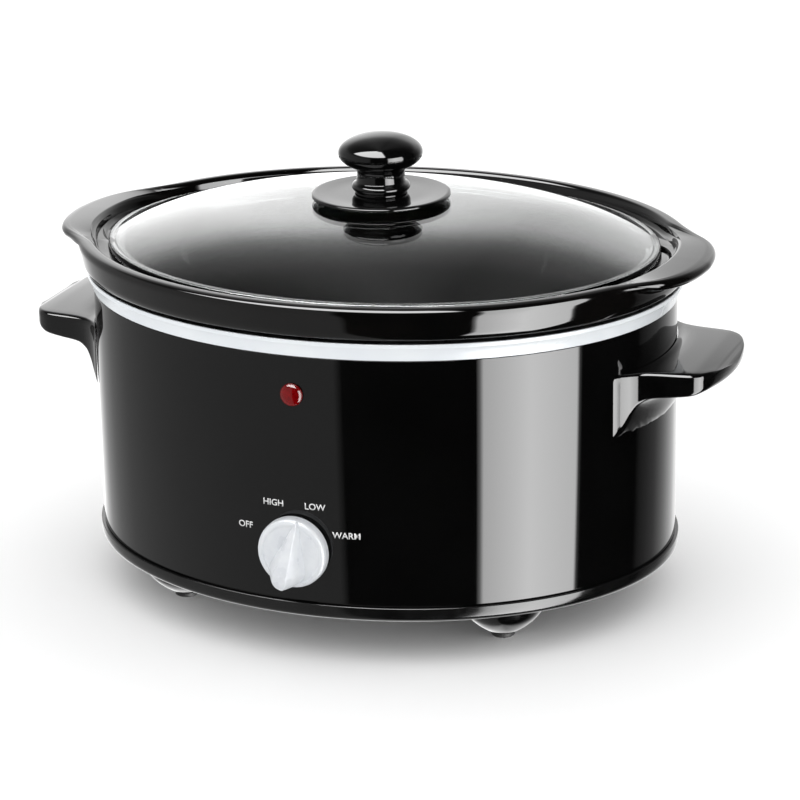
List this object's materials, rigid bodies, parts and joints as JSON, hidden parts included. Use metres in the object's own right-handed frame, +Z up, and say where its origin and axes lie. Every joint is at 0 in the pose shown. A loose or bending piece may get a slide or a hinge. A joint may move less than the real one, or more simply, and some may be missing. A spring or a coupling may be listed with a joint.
{
  "type": "slow cooker",
  "caption": "Oval slow cooker with a heated base, lift-out stoneware crock, glass lid, side handles and a rotary control knob.",
  "frame": {"origin": "on the surface it stands on, under the middle of the whole cooker's outline", "axes": "+X along the long side towards the right handle, +Y towards the back, +Z up; the control knob faces -Y"},
  "size_m": [0.369, 0.2732, 0.2318],
  "materials": {
    "shell_enamel": "gloss",
    "trim_white": "satin gloss",
    "liner_metal": "satin",
    "heater_wrap": "matte",
    "shield_metal": "satin",
    "base_black": "satin gloss",
    "foot_rubber": "matte",
    "handle_black": "gloss",
    "crock_glaze": "gloss",
    "lid_glass": "clear",
    "lid_black": "gloss",
    "washer_silicone": "matte",
    "dial_silver": "satin",
    "lens_red": "gloss",
    "fastener_steel": "zinc plated",
    "brass": "satin",
    "nylon_white": "matte",
    "lamp_glass": "clear",
    "sleeve_red": "matte",
    "sleeve_white": "matte"
  },
  "bodies": {
    "base": {"outer_shell": "shell_enamel", "trim_band": "trim_white", "inner_liner": "liner_metal", "heating_band": "heater_wrap", "bottom_heat_shield": "shield_metal", "base_plate": "base_black", "foot_front_left": "foot_rubber", "foot_front_right": "foot_rubber", "foot_rear_left": "foot_rubber", "foot_rear_right": "foot_rubber", "tie_bolt": "fastener_steel", "tie_washer": "fastener_steel", "tie_nut": "fastener_steel", "thermal_cutoff": "shield_metal", "cutoff_clip": "fastener_steel", "terminal_block": "nylon_white", "left_handle": "handle_black", "right_handle": "handle_black", "left_handle_screw_front": "fastener_steel", "left_handle_screw_rear": "fastener_steel", "right_handle_screw_front": "fastener_steel", "right_handle_screw_rear": "fastener_steel", "rotary_switch": "nylon_white", "switch_nut": "fastener_steel", "indicator_lens": "lens_red", "indicator_lamp": "lamp_glass", "lens_clip": "fastener_steel", "cord_inlet": "foot_rubber", "wire_supply_to_switch": "sleeve_red", "wire_switch_to_heater": "sleeve_white", "wire_heater": "sleeve_white", "wire_lamp": "sleeve_red"},
    "dial": {"control_knob": "dial_silver", "knob_clip": "fastener_steel", "switch_shaft": "brass"},
    "crock": {"stoneware_crock": "crock_glaze"},
    "lid": {"glass_lid": "lid_glass", "knob_heat_shield": "lid_black", "lid_knob": "lid_black", "knob_insert": "brass", "lid_washer": "washer_silicone", "lid_knob_screw": "fastener_steel"}
  },
  "joints": [
    {"name": "knob_turn", "type": "hinge", "parent": "base", "child": "dial", "pos_m": [0, -0.1176, 0.0563], "axis": [0, 1, 0], "range_deg": [-84, 60]},
    {"name": "crock_lift", "type": "slide", "parent": "base", "child": "crock", "axis": [0, 0, 1], "range_m": [0, 0.16]},
    {"name": "lid_lift", "type": "slide", "parent": "crock", "child": "lid", "axis": [0, 0, 1], "range_m": [0, 0.09]}
  ]
}
